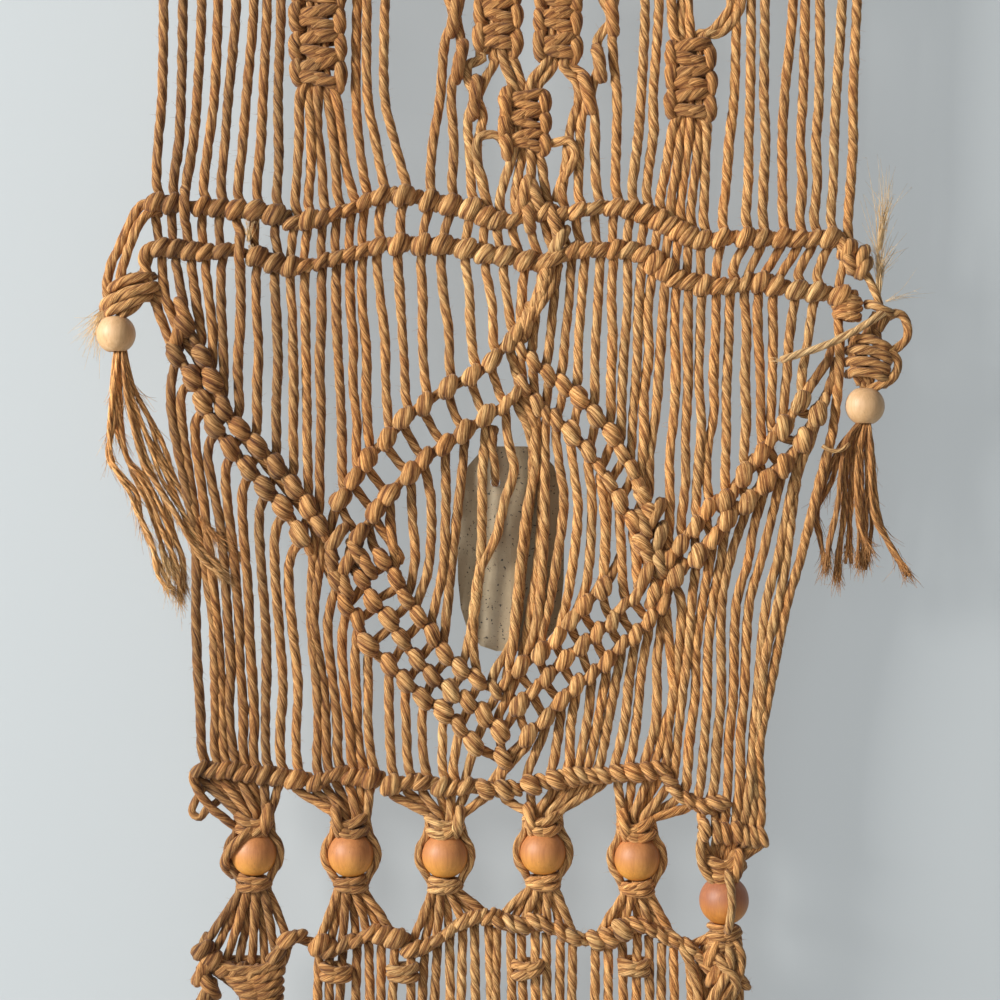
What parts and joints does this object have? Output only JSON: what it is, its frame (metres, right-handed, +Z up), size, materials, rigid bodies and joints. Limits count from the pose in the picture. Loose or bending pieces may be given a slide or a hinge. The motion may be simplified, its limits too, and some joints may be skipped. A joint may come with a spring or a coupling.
{
  "type": "macrame wall hanging",
  "caption": "Knotted jute wall hanging: hitched bars, a diamond window with a stoneware plaque behind it, wooden beads, two side tassels and a bottom fringe.",
  "frame": {"origin": "middle of the top edge, in the cloth's middle plane", "axes": "+Z up along the strands, +X to the viewer's right across the cloth, +Y from the front towards the wall"},
  "size_m": [0.4193, 0.0315, 0.6681],
  "materials": {
    "jute": "twisted three-ply jute cord, matt and hairy",
    "honey_wood": "turned wood, lacquered, satin",
    "pale_wood": "turned pale wood, satin",
    "stoneware": "speckled grey-green and buff glaze, semi-gloss"
  },
  "bodies": {
    "root": {"macrame_net": "jute", "fringe": "jute", "tassel_left": "jute", "tassel_right": "jute", "plaque_tie_left": "jute", "plaque_tie_right": "jute", "bead_1": "honey_wood", "bead_2": "honey_wood", "bead_3": "honey_wood", "bead_4": "honey_wood", "bead_5": "honey_wood", "bead_6": "honey_wood", "bead_left_tassel": "pale_wood", "bead_right_tassel": "pale_wood", "plaque": "stoneware"}
  },
  "joints": []
}
